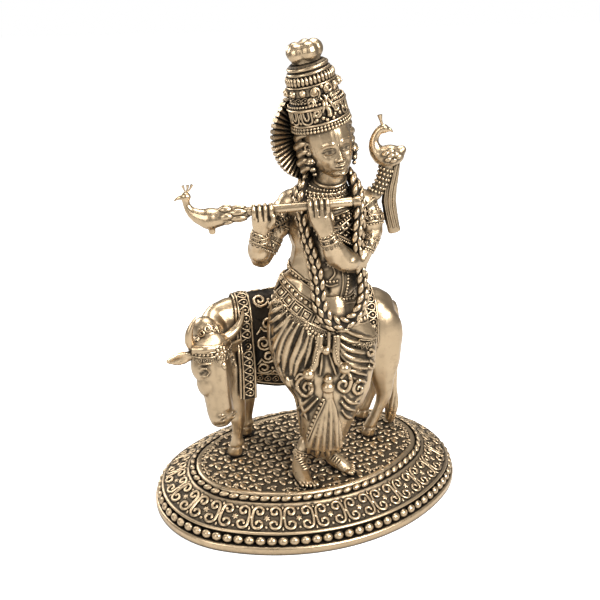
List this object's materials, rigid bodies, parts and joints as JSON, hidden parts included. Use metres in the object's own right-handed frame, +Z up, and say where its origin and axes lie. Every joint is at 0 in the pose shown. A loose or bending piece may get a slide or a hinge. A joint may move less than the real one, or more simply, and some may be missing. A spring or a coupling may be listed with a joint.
{
  "type": "hindu deity statue",
  "caption": "Free-standing cast brass statuette: a crowned flute player with crossed legs before a caparisoned cow, on a stepped oval plinth; the flute draws out.",
  "frame": {"origin": "middle of the plinth's foot, on the table", "axes": "+Z up, viewer on the -Y side, +X to the viewer's right along the plinth's length"},
  "size_m": [0.13, 0.0966, 0.1818],
  "materials": {
    "plain_brass": "antiqued, polished high spots",
    "ornament_brass": "antiqued, dark in the recesses"
  },
  "bodies": {
    "statue": {"plinth": "plain_brass", "deck": "plain_brass", "foot_beads": "ornament_brass", "rope_border": "ornament_brass", "cow_trunk": "plain_brass", "cow_head": "plain_brass", "cow_horns": "plain_brass", "cow_ears": "plain_brass", "cow_forelegs": "plain_brass", "cow_hindlegs": "plain_brass", "cow_tail": "plain_brass", "cow_blanket": "ornament_brass", "cow_browband": "ornament_brass", "dhoti": "plain_brass", "right_foot": "plain_brass", "left_foot": "plain_brass", "anklets": "ornament_brass", "torso": "plain_brass", "head": "plain_brass", "crown": "ornament_brass", "crown_finial": "ornament_brass", "halo": "ornament_brass", "earrings": "ornament_brass", "right_arm": "plain_brass", "left_arm": "plain_brass", "right_hand": "plain_brass", "left_hand": "plain_brass", "arm_bands": "ornament_brass", "garland": "ornament_brass", "necklace": "ornament_brass", "belt": "ornament_brass", "sash_ends": "ornament_brass", "front_pleat": "plain_brass", "shoulder_peacock": "plain_brass", "peacock_train": "ornament_brass"},
    "flute": {"flute": "plain_brass", "flute_peacock": "plain_brass"}
  },
  "joints": [
    {"name": "flute_slide", "type": "slide", "parent": "statue", "child": "flute", "axis": [-0.9229, 0.3729, -0.0958], "range_m": [0, 0.038]}
  ]
}
